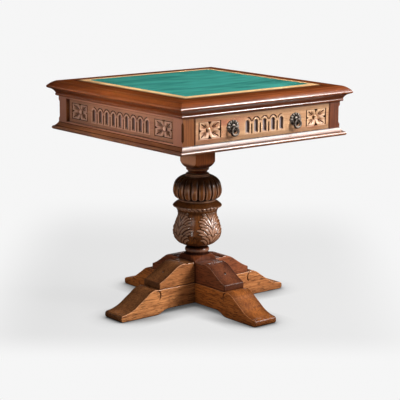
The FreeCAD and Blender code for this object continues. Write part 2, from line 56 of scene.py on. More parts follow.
# Carving of the drawer fronts and side panels
carve_step = 0.65  # grid step where a board is carved
plain_step = 3.5
end_step = 1.2  # between a flower and the board's end
carve_margin = 1.5  # fine grid beyond a flower's panel
edge_round = 1.2
arch_pitch = 34.6
niche_width = 15.6
niche_height = 41.0
niche_depth = 6.4
niche_bevel = 0.9
niche_rise = 17.0  # sill above the frieze's bottom
sill_slope = 5.0
hood_offset = 7.4  # middle of the hood's gouge from the niche
hood_half = 2.7
hood_depth = 2.3
hood_starts = (78, 4)  # degrees above the spring: at the arcade's ends, and between two arches
hood_crown = 70  # degrees from which the gouge grows shallower
hood_fade = 18  # degrees
slot_half = 2.2  # upright slot between two arches
slot_depth = 3.0
slot_drop = 4.0  # top of the slot below the spring of the arches
flower_width = 87.0
flower_height = 52.5
flower_sink = 7.5
flower_margin = 17.5
side_groove = (2.3, 3.2)  # half width and depth
sill_groove = (1.7, 1.8)
boss_half = (5.4, 9.0)
boss_rise = 0.8
hollow_place = (7.2, -1.5)  # from the boss, to its shaded side
hollow_half = (3.8, 8.0)
hollow_depth = 2.0
cheek_bearings = ((9, 11), (74, 16))  # bearing and half spread of a petal's two round cheeks
cheek_rise = 1.6
vein_depth = 2.4
vein_lines = (  # bearing, start, end and half width
    (31, 12, 41, 2.3), (20, 15, 30, 1.3), (43, 14, 27, 1.3))

# Pedestal
turning_steps = 480  # round a turned piece
leaf_rise = 1.9  # ridges of the leaves over the turned outline
leaf_reference = 74.0  # radius at which the leaf is drawn flat
leaf_tiers = (  # from the top: the (side, level) of each finger's tip
    ((9, 316), (20, 315), (31, 309)),
    ((29, 300), (37, 294), (43, 286), (41, 275)),
    ((25, 270), (37, 265), (51, 258), (44, 247)),
    ((19, 240), (35, 237), (38, 226)))
finger_half = 5.2
stem_levels, stem_halves = (203, 215, 280, 312), (6, 3.8, 2.8, 1.2)
bud_level = 222  # bud between two leaves
bud_half = (6.0, 13.0)
rim_pitch = 2 * math.pi * leaf_reference / 32
rim_level, rim_half = 0.862, 0.046  # shares of the cup's height
rim_slant = 0.9
nick_depth = 2.8
gadroon_count = 20
gadroon_first = 16.3  # degrees from +X
gadroon_depth = 6.6
shoulder_rise = 3  # fuller shoulder of the bulb
lobe_top = 0.8679  # share of the cover's height

# Feet and brackets
arris = 2.6
sole_arch = 15  # free height under the middle of a bar
scroll_radius = 20.5
scroll_depth = 3.0
scroll_half = 2.9
peg_radius = 5.0
peg_depth = 14.0
peg_room = 7  # fine grid round the hole

# Pulls
ring_drop = 25.4
ring_half = 12.6
ring_wire = 2.9
rosette_petals = 12

# Cloth
cloth_lift = 0.12  # unevenness of the cloth
cloth_lines = 90


def smooth(t):
    """Smooth step, 0 below 0 and 1 above 1."""
    t = np.clip(t, 0, 1)
    return t * t * (3 - 2 * t)


def vee(t):
    """Triangular cut, 1 in the middle and 0 from 1 on."""
    return np.clip(1 - np.abs(t), 0, 1)


def bold(cut):
    """A cut's share of depth turned into a broader dark mark."""
    return np.clip(1.8 * cut, 0, 1)


def dome(t):
    """Parabola, 1 in the middle and 0 from 1 on."""
    return np.clip(1 - t * t, 0, 1)


def spaced(start, *runs):
    """Grid lines from a start through the ends of the runs: each run is its end and the step to it."""
    lines = []
    for end, step in runs:
        lines.append(np.linspace(start, end, max(2, round(abs(end - start) / step) + 1)))
        start = end
    return np.unique(np.round(np.concatenate(lines), 4))


def arcs(start, *steps, per_arc=24):
    """Points along lines and arcs: a step is an end point, or a (middle, end) pair for an arc."""
    points = [np.array([start], float)]
    here = np.array(start, float)
    for step in steps:
        if isinstance(step[0], tuple):
            middle, end = np.array(step[0], float), np.array(step[1], float)
            sides = np.array([middle - here, end - here])
            squares = 0.5 * np.array([middle @ middle - here @ here, end @ end - here @ here])
            centre = np.linalg.solve(sides, squares)
            turns = [math.atan2(*(p - centre)[::-1]) for p in (here, middle, end)]
            first, _, last = np.unwrap(turns)
            sweep = np.linspace(first, last, per_arc + 1)[1:]
            reach = np.linalg.norm(here - centre)
            points.append(centre + reach * np.stack([np.cos(sweep), np.sin(sweep)], -1))
            here = end
        else:
            here = np.array(step, float)
            points.append(here[None])
    return np.concatenate(points)


def full_turn(count, whole=2 * math.pi):
    """Equal angles round a full turn."""
    return np.linspace(0, whole, count, endpoint=False)


def turned_by(points, degrees):
    """Points turned about Z, as the four sides of the table are."""
    c, s = math.cos(math.radians(degrees)), math.sin(math.radians(degrees))
    return points @ np.array([[c, s, 0], [-s, c, 0], [0, 0, 1]])


def tube_faces(rows, columns, capped):
    """Quads of a grid whose columns close on themselves, and a flat cap on each open end."""
    index = np.arange(rows * columns).reshape(rows, columns)
    if not capped:
        index = np.vstack([index, index[:1]])
    beside = np.roll(index, -1, axis=1)
    quads = np.stack([index[:-1], index[1:], beside[1:], beside[:-1]], -1).reshape(-1, 4).tolist()
    return quads + ([index[0].tolist(), index[-1, ::-1].tolist()] if capped else [])


def signed_volume(points, faces):
    """Volume inside the faces, negative where they point inwards."""
    corners = np.array([(f[0], f[k], f[k + 1]) for f in faces for k in range(1, len(f) - 1)])
    a, b, c = (points[corners[:, k]] for k in range(3))
    return np.einsum("ij,ij->", a, np.cross(b, c))


def linked(name, data):
    """New object of the scene."""
    made = bpy.data.objects.new(name, data)
    bpy.context.scene.collection.objects.link(made)
    return made


def piece(name, shells, body, finish, replaced, marks=(), capped=True):
    """Mesh object from closed shells, each a grid of points, with its faces turned outwards."""
    points, faces = [], []
    first = 0
    for grid in shells:
        flat = grid.reshape(-1, 3)
        made = tube_faces(*grid.shape[:2], capped)
        if signed_volume(flat, made) < 0:
            made = [f[::-1] for f in made]
        faces += [[first + k for k in f] for f in made]
        points.append(flat)
        first += len(flat)
    mesh = bpy.data.meshes.new(name)
    mesh.from_pydata((np.concatenate(points) * MM).tolist(), [], faces)
    for mark, values in dict(marks).items():
        layer = mesh.attributes.new(mark, "FLOAT", "POINT")
        layer.data.foreach_set("value", np.ascontiguousarray(values, np.float32).ravel())
    mesh.shade_smooth()
    mesh.set_sharp_from_angle(angle=math.radians(crease_angle))
    mesh.materials.append(finish)
    made = linked(name, mesh)
    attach(made, body)
    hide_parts(*replaced)


def limits(node):
    """Lowest and highest corner of a CAD node, in millimetres."""
    low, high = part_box(node)
    return np.array(low) / MM, np.array(high) / MM


# Finishes

def colour(red, green, blue):
    """Linear colour from screen values of 0 to 255."""
    value = np.array([red, green, blue]) / 255
    linear = np.where(value <= 0.04045, value / 12.92, ((value + 0.055) / 1.055) ** 2.4)
    return (*linear, 1.0)


class Nodes:
    """Shader nodes of a material or the world. A value is a number, a colour or another node's socket."""

    def __init__(self, owner, shader="Principled BSDF"):
        owner.use_nodes = True
        self.owner, self.tree = owner, owner.node_tree
        self.shader = self.tree.nodes[shader]

    def fill(self, made, values):
        """Link or set a node's inputs, by name or number."""
        for key, value in values.items():
            socket = made.inputs[key.replace("_", " ") if isinstance(key, str) else key]
            if isinstance(value, bpy.types.NodeSocket):
                self.tree.links.new(value, socket)
            else:
                socket.default_value = value
        return made

    def give(self, **inputs):
        """Fill the shader's own inputs by name."""
        self.fill(self.shader, inputs)

    def node(self, kind, settings=(), **inputs):
        """New node with its settings, and its inputs by name."""
        made = self.tree.nodes.new("ShaderNode" + kind)
        for name, value in dict(settings).items():
            setattr(made, name, value)
        return self.fill(made, inputs)

    def maths(self, operation, first, second=0.0, clamp=False):
        """One operation on two numbers."""
        made = self.node("Math", {"operation": operation, "use_clamp": clamp})
        return self.fill(made, {0: first, 1: second}).outputs[0]

    times = partialmethod(maths, "MULTIPLY")
    plus = partialmethod(maths, "ADD")
    less = partialmethod(maths, "SUBTRACT")
    most = partialmethod(maths, "MAXIMUM")
    size = partialmethod(maths, "ABSOLUTE")

    def mixed(self, share, first, second):
        """First colour where the share is 0, second where it is 1."""
        made = self.node("Mix", {"data_type": "RGBA"})
        return self.fill(made, {0: share, 6: first, 7: second}).outputs[2]

    def between(self, value, low, high):
        """Low where the value is 0, high where it is 1."""
        return self.node("MapRange", Value=value, To_Min=low, To_Max=high).outputs[0]

    def ramped(self, value, low, high):
        """0 below low, 1 above high, smooth between them."""
        settings = {"interpolation_type": "SMOOTHSTEP"}
        return self.node("MapRange", settings, Value=value, From_Min=low, From_Max=high).outputs[0]

    def place(self):
        """Place on the object, in metres."""
        return self.node("TexCoord").outputs["Object"]

    def parts(self, vector):
        """X, Y and Z of a vector."""
        return tuple(self.node("SeparateXYZ", Vector=vector).outputs)

    def mark(self, name):
        """One of the marks that a mesh carries."""
        return self.node("Attribute", {"attribute_name": name}).outputs["Fac"]

    def noise(self, vector, scale, detail=2.0, distortion=0.0):
        """Noise stretched by one scale for each axis, in waves to the metre."""
        spread = self.node("Mapping", Vector=vector, Scale=scale).outputs[0]
        made = self.node("TexNoise", Vector=spread, Scale=1.0, Detail=detail, Distortion=distortion)
        return made.outputs["Fac"]

    def openness(self, reach, samples=8):
        """1 in the open, and less where other faces are within reach."""
        return self.node("AmbientOcclusion", {"samples": samples}, Distance=reach).outputs["AO"]

    def uneven(self, height, strength, distance):
        """Fine relief of the surface."""
        self.give(Normal=self.node("Bump", Strength=strength, Distance=distance, Height=height).outputs[0])

    def lines(self, distance, places):
        """1 where the distance has one of the places' values, fading over each one's half width."""
        total = 0.0
        for middle, half in places:
            away = self.size(self.less(distance, middle * MM))
            total = self.most(self.ramped(away, half * MM, 0.4 * half * MM), total)
        return total


def grain_vector(oak, grain, shift):
    """Object coordinates with the grain on X: along x, y or z, or round a mitred frame."""
    x, y, z = oak.parts(oak.place())

    def joined(first, second, third):
        """The coordinates in another order."""
        return oak.node("CombineXYZ", X=first, Y=second, Z=third).outputs[0]

    if grain == "mitre":
        side = oak.maths("GREATER_THAN", oak.size(x), oak.size(y))
        choice = oak.node("Mix", {"data_type": "VECTOR"})
        vector = oak.fill(choice, {0: side, 4: joined(x, y, z), 5: joined(y, x, z)}).outputs[1]
    else:
        vector = joined(*{"x": (x, y, z), "y": (y, x, z), "z": (z, x, y)}[grain])
    return oak.node("Mapping", Vector=vector, Location=(shift, 2.3 * shift, 1.7 * shift)).outputs[0]


def wood(name, grain, light, dark, wax_and_shade, rough=(0.34, 0.5), coat=0.12, shift=0.0, crevice_shade=0.85, reach=0.009,
         figure=0.3, grit=0.9, pore=0.5, fleck=(70, 900), fleck_start=0.58, mottle=0.5, blush=None, bump=0.16,
         shine=0.35, sheen=0.12, niche=(150, 138, 140), wear_and_highlight_tone=None, shaded_coves=(), beads=(), squares=(),
         chamfer=0.0, side_sheen_tone=None, lacquer=1.5, level_shade_and_matt=0.0):
    """Oak: growth rings as lines of equal noise stretched along the grain, fibres, open pores,
    dark waxing and painted shade in the cuts, and lighter edges where the mesh marks wear and painted
    highlights. Faces with other faces close by grow darker, a painted shade in corners and recesses.
    Cove levels are dark and bead levels lighter, painted shade and highlight; square lines round the
    table's axis are dark, a painted shade; chamfer darkens slanted corners; the left and right faces can
    take a paler tone, a painted sheen; and the level faces can lose their coat and grow darker, a
    painted shade."""
    oak = Nodes(bpy.data.materials.new(name))
    along = grain_vector(oak, grain, shift)
    flow = oak.noise(along, (0.7, 15, 15), 2.0, 0.15)
    rings = oak.ramped(oak.maths("SINE", oak.times(flow, 85.0)), -1.0, 1.0)
    broad = oak.noise(along, (2.0, 34, 34))
    fibre = oak.noise(along, (16, 420, 420), 3.0)
    pores = oak.ramped(oak.noise(along, (fleck[0], fleck[1], fleck[1])), fleck_start, fleck_start + 0.12)
    tone = oak.plus(oak.times(rings, figure), oak.times(broad, 1 - figure))
    tone = oak.plus(tone, oak.times(oak.less(fibre, 0.5), grit), True)
    body = oak.mixed(tone, colour(*dark), colour(*light))
    cloud = oak.ramped(oak.noise(along, (5, 14, 14), 3.0, 0.8), 0.45, 0.75)
    body = oak.mixed(oak.times(cloud, mottle), body, colour(*(blush or dark)))
    body = oak.mixed(oak.times(pores, pore), body, colour(*wax_and_shade))
    x, y, z = oak.parts(oak.place())
    # Lighter where the mesh marks wear and painted highlights, and a painted highlight at the bead levels.
    wear_and_highlight = oak.most(oak.mark("wear_and_highlight"), oak.times(oak.lines(z, beads), 0.5))
    wear_and_highlight_colour = colour(*wear_and_highlight_tone) if wear_and_highlight_tone else oak.mixed(0.3, colour(*light), (1, 0.8, 0.6, 1))
    body = oak.mixed(oak.times(wear_and_highlight, 0.65), body, wear_and_highlight_colour)
    stain = oak.mark("stain")
    body = oak.mixed(oak.times(stain, 0.9), body, colour(*niche))
    # Darker where other faces are within reach: painted shade in corners, recesses and under overhangs, mixed
    # toward the dark tone below.
    shade = oak.times(oak.ramped(oak.openness(reach), 0.8, 0.25), crevice_shade)
    cut = oak.times(shade, oak.less(1.0, oak.times(stain, 0.8)))
    from_axis = oak.most(oak.size(x), oak.size(y))
    lines = oak.most(oak.lines(z, shaded_coves), oak.lines(from_axis, squares))
    facing_x, facing_y, facing_z = oak.parts(oak.node("NewGeometry").outputs["True Normal"])
    slanted = oak.ramped(oak.size(oak.times(facing_x, facing_y)), 0.2, 0.35)
    level = oak.ramped(facing_z, 0.95, 0.99)
    # Darker from the mesh's marks, waxing and painted shade; painted shade at the cove levels and square lines;
    # darker slanted corners; and a painted shade on the level faces of the top and the lip.
    for share, strength in ((oak.mark("wax_and_shade"), 0.95), (lines, 0.85), (slanted, chamfer), (level, level_shade_and_matt)):
        cut = oak.most(cut, oak.times(share, strength))
    # A paler tone on the left and right faces: a painted sheen of reflected light.
    if side_sheen_tone:
        aside = oak.ramped(oak.size(facing_x), 0.75, 0.95)
        body = oak.mixed(oak.times(aside, 0.8), body, colour(*side_sheen_tone))
    matt = oak.most(oak.times(cut, 0.85), oak.times(level, 0.99 if level_shade_and_matt else 0.0))
    polish = oak.less(1.0, matt)
    oak.give(Base_Color=oak.mixed(cut, body, colour(*wax_and_shade)), Roughness=oak.between(fibre, *rough),
             Specular_IOR_Level=oak.times(polish, shine), Coat_Weight=oak.times(polish, coat),
             Coat_Roughness=sheen, Coat_IOR=lacquer)
    oak.uneven(oak.less(oak.times(fibre, 0.6), pores), bump, 0.0005)
    return oak.owner


def baize():
    """Felted wool: cloudy nap brushed in long soft streaks, with fine fibres and no shine."""
    cloth = Nodes(bpy.data.materials.new("green_baize"))
    place = cloth.place()
    clouds = cloth.noise(place, (5, 16, 5), 3.0, 0.6)
    streaks = cloth.noise(place, (9, 70, 9), 2.0, 0.3)
    fibre = cloth.noise(place, (900, 900, 900))
    tone = cloth.plus(cloth.times(clouds, 0.6), cloth.times(streaks, 0.4))
    tone = cloth.plus(cloth.ramped(tone, 0.24, 0.74), cloth.times(fibre, 0.18), True)
    cloth.give(Base_Color=cloth.mixed(tone, colour(38, 95, 85), colour(64, 147, 135)), Roughness=0.95,
               Specular_IOR_Level=0.0)
    cloth.uneven(fibre, 0.35, 0.0004)
    return cloth.owner


def bronze():
    """Dark cast metal, paler with wear on the high places and nearly black in the hollows."""
    metal = Nodes(bpy.data.materials.new("aged_bronze"))
    mottle = metal.noise(metal.place(), (260, 260, 260), 4.0)
    high = metal.plus(metal.mark("wear_and_highlight"), metal.times(metal.less(mottle, 0.5), 0.7), True)
    body = metal.mixed(high, colour(54, 44, 38), colour(166, 154, 142))
    hollow = metal.times(metal.ramped(metal.openness(0.006), 0.7, 0.2), 0.8)
    metal.give(Base_Color=metal.mixed(hollow, body, colour(16, 12, 10)), Metallic=0.85,
               Roughness=metal.between(mottle, 0.36, 0.56))
    metal.uneven(mottle, 0.2, 0.0004)
    return metal.owner


def steel():
    """Zinc-plated steel with a fine brushed grain."""
    metal = Nodes(bpy.data.materials.new("plated_steel"))
    brush = metal.noise(metal.place(), (900, 900, 60))
    metal.give(Base_Color=metal.mixed(brush, colour(128, 128, 130), colour(190, 190, 192)), Metallic=1.0,
               Roughness=metal.between(brush, 0.25, 0.45))
    return metal.owner


lip_edge = limits("field_lip")[1][0]
neck = limits("column_head_block")[0][2]
plinth_low, plinth_high = (corner[2] for corner in limits("front_plinth"))
base_low, base_high = (corner[2] for corner in limits("column_base_block"))
base_tall = base_high - base_low

# Looks that several oaks share
polished = dict(coat=0.75, shine=0.12, sheen=0.18, lacquer=1.8, reach=0.022)
# Framed oaks take a paler tone on their left and right faces, a painted sheen.
framed = dict(reach=0.02, chamfer=0.75, side_sheen_tone=(150, 100, 82))
turned = dict(rough=(0.28, 0.44), reach=0.03)
footed = dict(rough=(0.4, 0.55), coat=0.22, figure=0.15, grit=1.5, pore=0.6, fleck=(48, 400),
              fleck_start=0.52, bump=0.05, shine=0.22, reach=0.06, crevice_shade=0.78)
# The plinth's dark lines in its quirks are a painted shade.
plinth = dict(light=(156, 92, 48), dark=(90, 46, 20), wax_and_shade=(32, 13, 7), shift=0.93, sheen=0.26, reach=0.02,
              shaded_coves=((plinth_low + 12.6, 1.5), (plinth_high - 1, 1.5)))

# Each oak has its light and dark tones, and the tone of its waxing and painted shade, after the direction of its
# grain
# The cornice's oak is a darker copy of the top's: painted shade on the cove under the nose.
shaded_cornice_oak = wood("dark_oak_shaded_cornice", "mitre", (130, 65, 29), (73, 30, 11), (34, 14, 8), shift=0.5,
                   **polished)
# The dark square line just outside the lip is a painted shade on the top.
top_oak = wood("dark_oak_top", "mitre", (152, 79, 36), (86, 36, 13), (34, 14, 8), shift=0.2,
               squares=((lip_edge + 4, 8),), level_shade_and_matt=0.3, **polished)
frame_oak = {grain: wood(f"dark_oak_{grain}", grain, (152, 88, 36), (89, 43, 13), (32, 13, 7),
                         shift=0.31 * k, **framed) for k, grain in enumerate("xyz")}
post_oak = wood("dark_oak_post", "z", (116, 58, 27), (66, 26, 11), (32, 13, 7), shift=5.1, **framed)
# The x bar's tone is paler and the y bar's deeper: painted light, a sheen on the lit front faces of the x bar and
# shade on the left faces of the y bar.
foot_oak = {grain: wood(f"dark_oak_foot_{grain}", grain, light, dark, (34, 12, 6), shift=shift, **footed)
            for grain, light, dark, shift in (("x", (228, 154, 94), (128, 70, 34), 3.0),
                                              ("y", (228, 137, 64), (128, 62, 23), 3.31))}
bracket_oak = {grain: wood(f"dark_oak_bracket_{grain}", grain, (166, 94, 56), (90, 43, 25), (32, 12, 8),
                           shift=3.7 + 0.2 * k, **footed) for k, grain in enumerate("xy")}
plinth_oak = wood("dark_oak_plinth", "mitre", coat=1.0, shine=0.6, **plinth)
far_plinth_oak = wood("dark_oak_far_plinth", "mitre", coat=0.2, shine=0.2, **plinth)
# The base's dark cove levels and lighter bead level are a painted shade and highlight on its turning.
base_oak = wood("dark_oak_base", "z", (128, 68, 38), (70, 31, 15), (24, 8, 5), shift=4.3, coat=0.3,
                sheen=0.24, shine=0.2, beads=((base_low + 0.87 * base_tall, 5),),
                shaded_coves=((base_low + 0.99 * base_tall, 6), (base_low + 0.78 * base_tall, 4.5)), **turned)
column_oak = wood("dark_oak_column", "z", (158, 92, 39), (80, 40, 12), (20, 8, 4), shift=4.0, coat=0.85,
                  sheen=0.13, wear_and_highlight_tone=(208, 164, 138), **turned)
# The head's oak is a lighter, warmer copy of the column's: painted light on the head block, which the table top
# shades. Its neck has dark cove levels and a lighter bead level, painted shade and highlight.
lit_head_oak = wood("dark_oak_lit_head", "z", (170, 90, 26), (100, 41, 6), (30, 8, 5), shift=4.6, coat=0.35,
                sheen=0.24, side_sheen_tone=(150, 104, 80), shaded_coves=((neck + 3, 12), (neck + 21, 12)),
                beads=((neck + 12.5, 2.5),), **turned)
drawer_oak = wood("carved_oak_drawer", "x", (214, 170, 127), (155, 105, 70), (50, 16, 9), shift=1.0,
                  figure=0.15, reach=0.016, mottle=0.8, blush=(164, 92, 64))
panel_oak = wood("carved_oak_panel", "y", (158, 109, 82), (105, 65, 46), (34, 14, 9), shift=1.4, figure=0.15,
                 niche=(80, 60, 58), wear_and_highlight_tone=(214, 172, 150))
# The dark square line on the lip's outer edge is a painted shade.
lip_oak = wood("lip_oak", "mitre", (246, 208, 156), (210, 160, 106), (90, 44, 18), shift=0.7, coat=0.3,
               squares=((lip_edge - 1, 6),), level_shade_and_matt=0.02)
inner_wood = {grain: wood(f"inner_wood_{grain}", grain, (204, 166, 118), (166, 126, 84), (96, 66, 40),
                          shift=2.0 + 0.3 * k, rough=(0.5, 0.65), coat=0.0, crevice_shade=0.3)
              for k, grain in enumerate("xy")}
metals = {"aged_bronze": bronze(), "steel": steel()}
green_baize = baize()
oak_by_word = {  # the first word that a dark oak node's name has in it
    "_top_rail": top_oak, "_cornice": shaded_cornice_oak, "front_plinth": plinth_oak, "left_plinth": plinth_oak,
    "_plinth": far_plinth_oak, "_right_post": post_oak, "_post": frame_oak["z"],
    "column_base_block": base_oak, "column_cup": column_oak, "column_cover": column_oak, "column_": lit_head_oak}


def finish_of(name, slot):
    """Finish of a CAD node from its slot and its name, with the grain along the piece's length."""
    low, high = limits(name)
    lengthwise = "x" if high[0] - low[0] > high[1] - low[1] else "y"
    by_slot = {**metals, "baize": green_baize, "lip_oak": lip_oak, "inner_wood": inner_wood[lengthwise],
               "carved_oak": drawer_oak if lengthwise == "x" else panel_oak}
    if slot in by_slot:
        return by_slot[slot]
    return next((oak for word, oak in oak_by_word.items() if word in name), frame_oak[lengthwise])


for part in frame["record"]["subparts"]:
    mesh = frame["nodes"][part["node"]].data
    mesh.materials.clear()
    mesh.materials.append(finish_of(part["node"], part["material_slot"]))


# Carved boards

frieze_bottom, frieze_top = (corner[2] for corner in limits("front_left_post"))
flower_level = (frieze_bottom + frieze_top) / 2
sill = frieze_bottom + niche_rise


def arcade(x, z, arches):
    """Arcade of round-headed niches with sloping sills: distance to the nearest niche's outline gives
    its wall, a hood gouge over each arch and a slot between two arches; marks the niches' stain,
    waxing and painted shade in the cuts, and lighter bands round the arches, a painted highlight."""
    radius = niche_width / 2
    spring = sill + niche_height - radius
    middle = (arches - 1) / 2
    nearest = np.clip(np.round(x / arch_pitch + middle), 0, arches - 1)
    across = x - (nearest - middle) * arch_pitch
    out = np.where(z > spring, np.hypot(across, z - spring) - radius,
                   np.maximum(np.abs(across) - radius, sill - z))
    wall = smooth(0.5 - out / niche_bevel)
    ground = np.clip((z - sill) / sill_slope, 0, 1)
    bearing = np.degrees(np.arctan2(z - spring, np.abs(across)))
    outer = ((nearest == 0) & (across < 0)) | ((nearest == arches - 1) & (across > 0))
    hood = smooth((bearing - np.where(outer, *hood_starts)) / hood_fade)
    hood = hood * vee((out - hood_offset) / hood_half)
    hood = hood * (1 - 0.45 * smooth((bearing - hood_crown) / hood_fade))
    between = (np.clip(np.round(x / arch_pitch + middle - 0.5), 0, arches - 2) + 0.5 - middle) * arch_pitch
    slot_top = spring - slot_drop - slot_half
    slot_out = np.maximum(np.hypot(x - between, np.maximum(z - slot_top, 0)) - slot_half, sill - z)
    slot = smooth(0.5 - slot_out / niche_bevel)
    height = -np.maximum.reduce([niche_depth * wall * ground, hood_depth * hood, slot_depth * slot])
    wax_and_shade = np.maximum.reduce([bold(slot), bold(hood), 0.85 * dome((out + 0.4) / 0.9) * ground])
    # Lighter bands round each arch and down the jambs: painted highlight.
    wear_and_highlight = smooth((out - 0.3) / 0.6) * smooth((6.2 - out) / 1.4) * (1 - wax_and_shade) * (z > sill - 3)
    wear_and_highlight = 0.4 * wear_and_highlight * np.where(z > spring, bearing > 10, np.abs(across) < arch_pitch / 2 - slot_half)
    return height, {"wax_and_shade": wax_and_shade, "stain": wall * ground, "wear_and_highlight": wear_and_highlight}


def flower(p, q, shaded, framing):
    """Four dished petals to the corners of a sunk panel: each is a trough with a crease and two fine
    veins between round cheeks, dark notches flare out from the mid-lines, and grooves close the sides.
    A hollow lies on the shaded side of the boss, and its dark is a painted shadow of the boss; the
    cheeks, the outer petals and the boss are lighter, a painted highlight."""
    u, v = np.abs(p), np.abs(q)
    a, b = u / (flower_width / 2), v / (flower_height / 2)
    rho, bearing = np.hypot(a, b), np.degrees(np.arctan2(b, a))
    inside = (a < 1) & (b < 1)
    dish = -flower_sink * np.clip(1 - rho / 1.1, 0, 1) ** 0.9
    notch = np.maximum(smooth((0.19 * np.clip((b - 0.5) / 0.5, 0, 1) ** 1.3 - a) / 0.04),
                       smooth((0.27 * np.clip((a - 0.66) / 0.34, 0, 1) ** 1.3 - b) / 0.05))
    veins = np.zeros_like(rho)
    for line, start, end, wide in vein_lines:
        way = (math.cos(math.radians(line)), math.sin(math.radians(line)))
        run, off = u * way[0] + v * way[1], v * way[0] - u * way[1]
        veins = np.maximum(veins, vee(off / wide) * smooth((run - start) / 5) * smooth((end - run) / 5))
    cheeks = np.maximum(*(dome((bearing - middle) / half) for middle, half in cheek_bearings))
    cheeks = cheeks * smooth((rho - 0.2) / 0.3)
    petal = dish + cheek_rise * cheeks - vein_depth * veins
    petal = petal * (1 - notch) - flower_sink * notch
    centre = np.hypot(p / boss_half[0], q / boss_half[1])
    hollow = np.hypot((p - shaded * hollow_place[0]) / hollow_half[0], (q - hollow_place[1]) / hollow_half[1])
    hollow = dome(hollow) * (centre > 0.9)
    boss = boss_rise - (flower_sink + boss_rise) * np.clip(centre, 0, 2) ** 2.2
    petal = np.maximum(petal - hollow_depth * hollow, boss)
    ends = vee((u - flower_width / 2 + side_groove[0]) / side_groove[0])
    rims = vee((v - flower_height / 2 + sill_groove[0]) / sill_groove[0])
    height = np.where(inside, np.minimum(petal, -np.maximum(side_groove[1] * ends, sill_groove[1] * rims)), 0)
    light = np.maximum(cheeks, smooth((np.maximum(a, b) - 0.55) / 0.3))
    ground = 0.42 * framing * (1 - light) * smooth((rho - 0.15) / 0.2)
    # Waxing and painted shade in the cuts; the hollow's dark is a painted shadow of the boss.
    wax_and_shade = np.maximum.reduce([notch, bold(veins), bold(bold(ends)), framing * bold(rims), bold(hollow),
                             ground])
    # Cheeks, outer petals and boss lighter: painted highlight.
    wear_and_highlight = np.clip(0.55 * light * (1 - notch) + (centre < 0.9), 0, 1)
    return height, {"wax_and_shade": wax_and_shade * inside, "stain": np.zeros_like(wax_and_shade), "wear_and_highlight": wear_and_highlight * inside * (1 - wax_and_shade)}


def carved_board(name, swapped, degrees, arches, face, body):
    """A board's section, its carved face in front and flat edges behind, carried along its length."""
    low, high = limits(swapped)
    is_drawer = degrees % 180 == 0
    length, thickness = (high - low)[:2] if is_drawer else (high - low)[1::-1]
    half = length / 2
    flower_offset = -limits("front_left_post")[1][0] - flower_margin - flower_width / 2
    flower_reach = flower_width / 2 + carve_margin
    arcade_half = (arches - 1) / 2 * arch_pitch + niche_width / 2 + hood_offset + hood_half
    right = spaced(0, (arcade_half, carve_step), (flower_offset - flower_reach, plain_step),
                   (flower_offset + flower_reach, carve_step), (half - edge_round, end_step),
                   (half, edge_round / 3))
    across = np.unique(np.concatenate([-right, right]))
    carved_half = flower_height / 2 + carve_margin
    up = spaced(low[2], (low[2] + edge_round, edge_round / 3), (flower_level - carved_half, plain_step),
                (flower_level + carved_half, carve_step), (high[2] - edge_round, plain_step),
                (high[2], edge_round / 3))
    x, z = np.meshgrid(across, up, indexing="ij")
    height, marks = arcade(x, z, arches)
    in_arcade = np.abs(x) < arcade_half
    shaded, framing = (-1, 0.25) if is_drawer else (1, 1.0)
    bloom, bloom_marks = flower((np.abs(x) - flower_offset) * np.sign(x), z - flower_level, shaded, framing)
    height = np.where(in_arcade, height, bloom)
    marks = {k: np.where(in_arcade, marks[k], bloom_marks[k]) for k in marks}
    rim = np.minimum.reduce([half - np.abs(x), z - low[2], high[2] - z])
    fall = np.clip(edge_round - rim, 0, None)
    # Darker along the ends at the joint with the posts, and along the top a painted shadow of the cornice; drawers
    # darker above and below the flowers' level, the upper band a painted shadow of the cornice.
    joint_and_cornice_shadow = np.maximum(smooth((7.0 - half + np.abs(x)) / 2), 0.8 * smooth((3.6 - high[2] + z) / 2.4))
    strips = 0.42 * smooth((np.abs(z - flower_level) - 22) / 10) * is_drawer
    marks["wax_and_shade"] = np.maximum.reduce([marks["wax_and_shade"], 0.95 * joint_and_cornice_shadow, strips])
    height = height - (edge_round - np.sqrt(np.clip(edge_round ** 2 - fall ** 2, 0, None)))
    front = np.stack([x, -face - height, z], -1)
    back = np.stack([x, np.full_like(x, thickness - face), z], -1)
    section = np.concatenate([front, back[:, [-1, 0]]], axis=1)
    marks = {k: np.pad(v, ((0, 0), (0, 2))) for k, v in marks.items()}
    finish = drawer_oak if is_drawer else panel_oak
    piece(name, [turned_by(section, degrees)], body, finish, [swapped], marks)


drawer_face = -limits("front_drawer_front")[0][1]
panel_face = -limits("left_side_panel")[0][0]
carved_board("front_drawer_carved_face", "front_drawer_front", 0, 5, drawer_face, "front_drawer")
carved_board("back_drawer_carved_face", "back_drawer_front", 180, 5, drawer_face, "back_drawer")
carved_board("right_carved_panel", "right_side_panel", 90, 9, panel_face, "table")
carved_board("left_carved_panel", "left_side_panel", 270, 9, panel_face, "table")


# Pedestal

def revolved(outline, relief):
    """Outline of (radius, level) points turned about Z, pushed out along its own normal by the relief."""
    along = np.gradient(outline, axis=0)
    along /= np.linalg.norm(along, axis=1, keepdims=True)
    turn = full_turn(relief.shape[1])
    radius = outline[:, :1] + relief * along[:, 1:]
    level = outline[:, 1:] - relief * along[:, :1]
    return np.stack([radius * np.cos(turn), radius * np.sin(turn), level], -1)


def evenly(outline, count):
    """The same outline with points at equal steps along it."""
    run = np.concatenate([[0], np.cumsum(np.linalg.norm(np.diff(outline, axis=0), axis=1))])
    places = np.linspace(0, run[-1], count)
    return np.stack([np.interp(places, run, outline[:, k]) for k in range(2)], -1)


def scaled(radius, low, tall):
    """Function that turns (radius, height) shares of a turned piece into points of its outline."""
    return lambda *shares: tuple((radius * r, low + tall * h) for r, h in shares)


